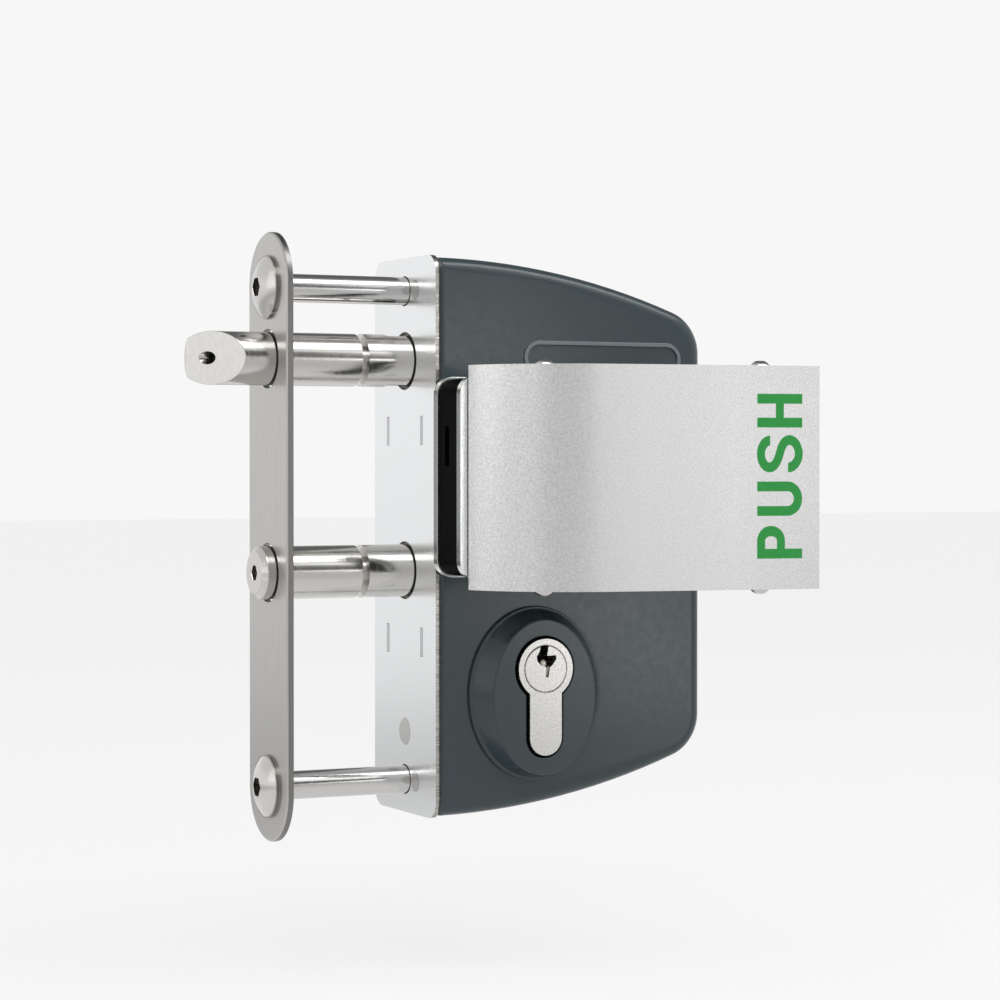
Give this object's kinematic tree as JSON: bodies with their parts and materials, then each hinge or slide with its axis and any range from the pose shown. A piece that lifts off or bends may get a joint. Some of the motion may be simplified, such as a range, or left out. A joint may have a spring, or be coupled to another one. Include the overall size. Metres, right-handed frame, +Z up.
{
  "type": "gate lock",
  "caption": "Surface-mounted gate lock clamped on a square gate tube, with a hinged push pad, spring latch bolt, key-thrown deadbolt, double key cylinder and rear lever handle",
  "frame": {"origin": "centre of the mounting plate's outer face, which rests on the gate tube, midway between the two fixing screws", "axes": "+X away from the tube into the lock housing, +Y away from the push pad towards the lever handle, +Z up"},
  "size_m": [0.206, 0.1412, 0.171],
  "materials": {
    "stainless_plate": "brushed",
    "zinc_steel": "satin",
    "polished_steel": "polished",
    "screw_steel": "satin",
    "powder_coat": "fine texture",
    "black_plastic": "matte",
    "guide_plastic": "matte",
    "pad_aluminium": "bead blasted and anodised",
    "cylinder_nickel": "satin nickel",
    "spring_steel": "drawn",
    "pin_brass": "turned",
    "pad_print": "screen printed"
  },
  "bodies": {
    "lock_case": {"face_plate": "stainless_plate", "fixing_screws": "screw_steel", "mounting_plate": "zinc_steel", "plate_screws": "screw_steel", "anchor_blocks": "zinc_steel", "front_shell": "powder_coat", "rear_shell": "powder_coat", "case_screws": "screw_steel", "case_plate_front": "zinc_steel", "case_plate_rear": "zinc_steel", "case_spacers": "zinc_steel", "spring_bracket": "zinc_steel", "latch_bush": "guide_plastic", "latch_spring": "spring_steel", "deadbolt_bush": "guide_plastic", "follower_bushes": "guide_plastic", "return_spring": "spring_steel", "pad_base_plate": "stainless_plate", "pad_body": "black_plastic", "pad_cover_plate": "stainless_plate", "stack_screws": "screw_steel", "hinge_knuckle": "zinc_steel", "knuckle_screws": "screw_steel", "hinge_pin": "screw_steel", "cylinder_body": "cylinder_nickel", "driver_pins": "pin_brass", "cylinder_screw": "screw_steel", "front_cylinder_rose": "powder_coat", "rear_cylinder_rose": "powder_coat", "handle_rose": "powder_coat"},
    "push_pad": {"push_pad": "pad_aluminium", "pad_cap_top": "pad_aluminium", "pad_cap_bottom": "pad_aluminium", "cap_screws": "screw_steel", "drive_arm": "zinc_steel", "arm_screws": "screw_steel"},
    "spindle": {"follower": "zinc_steel", "spindle": "zinc_steel", "spindle_crank": "zinc_steel", "grub_screws": "screw_steel", "lever_handle": "stainless_plate"},
    "latch": {"latch_bolt": "polished_steel", "latch_adjuster": "screw_steel", "latch_carrier": "polished_steel"},
    "deadbolt": {"deadbolt": "polished_steel", "deadbolt_carrier": "polished_steel"},
    "key_plug": {"front_plug": "cylinder_nickel", "front_key_pins": "pin_brass", "cylinder_cam": "zinc_steel"},
    "rear_key_plug": {"rear_plug": "cylinder_nickel", "rear_key_pins": "pin_brass"}
  },
  "joints": [
    {"name": "spindle_turn", "type": "hinge", "parent": "lock_case", "child": "spindle", "pos_m": [0.03, 0, 0.0168], "axis": [0, 1, 0], "range_deg": [0, 38], "stiffness_Nm_per_rad": 1.5, "springref_deg": -22.92},
    {"name": "pad_push", "type": "hinge", "parent": "lock_case", "child": "push_pad", "pos_m": [0.01042, -0.0452, 0.0168], "axis": [0, 0, 1], "range_deg": [0, 15]},
    {"name": "latch_slide", "type": "slide", "parent": "lock_case", "child": "latch", "axis": [1, 0, 0], "range_m": [0, 0.02161], "deforming": ["latch_spring"]},
    {"name": "key_turn", "type": "hinge", "parent": "lock_case", "child": "key_plug", "pos_m": [0.03, 0, -0.0373], "axis": [0, -1, 0], "range_deg": [0, 100.57]},
    {"name": "deadbolt_slide", "type": "slide", "parent": "lock_case", "child": "deadbolt", "axis": [-1, 0, 0], "range_m": [0, 0.02]},
    {"name": "rear_key_turn", "type": "hinge", "parent": "lock_case", "child": "rear_key_plug", "pos_m": [0.03, 0, -0.0373], "axis": [0, 1, 0], "range_deg": [0, 100.57]}
  ],
  "couplings": [
    {"joint": "pad_push", "follows": "spindle_turn", "ratio": 0.39474},
    {"joint": "latch_slide", "follows": "spindle_turn", "m_per_rad": 0.032591},
    {"joint": "key_turn", "follows": "deadbolt_slide", "rad_per_m": 87.76}
  ]
}
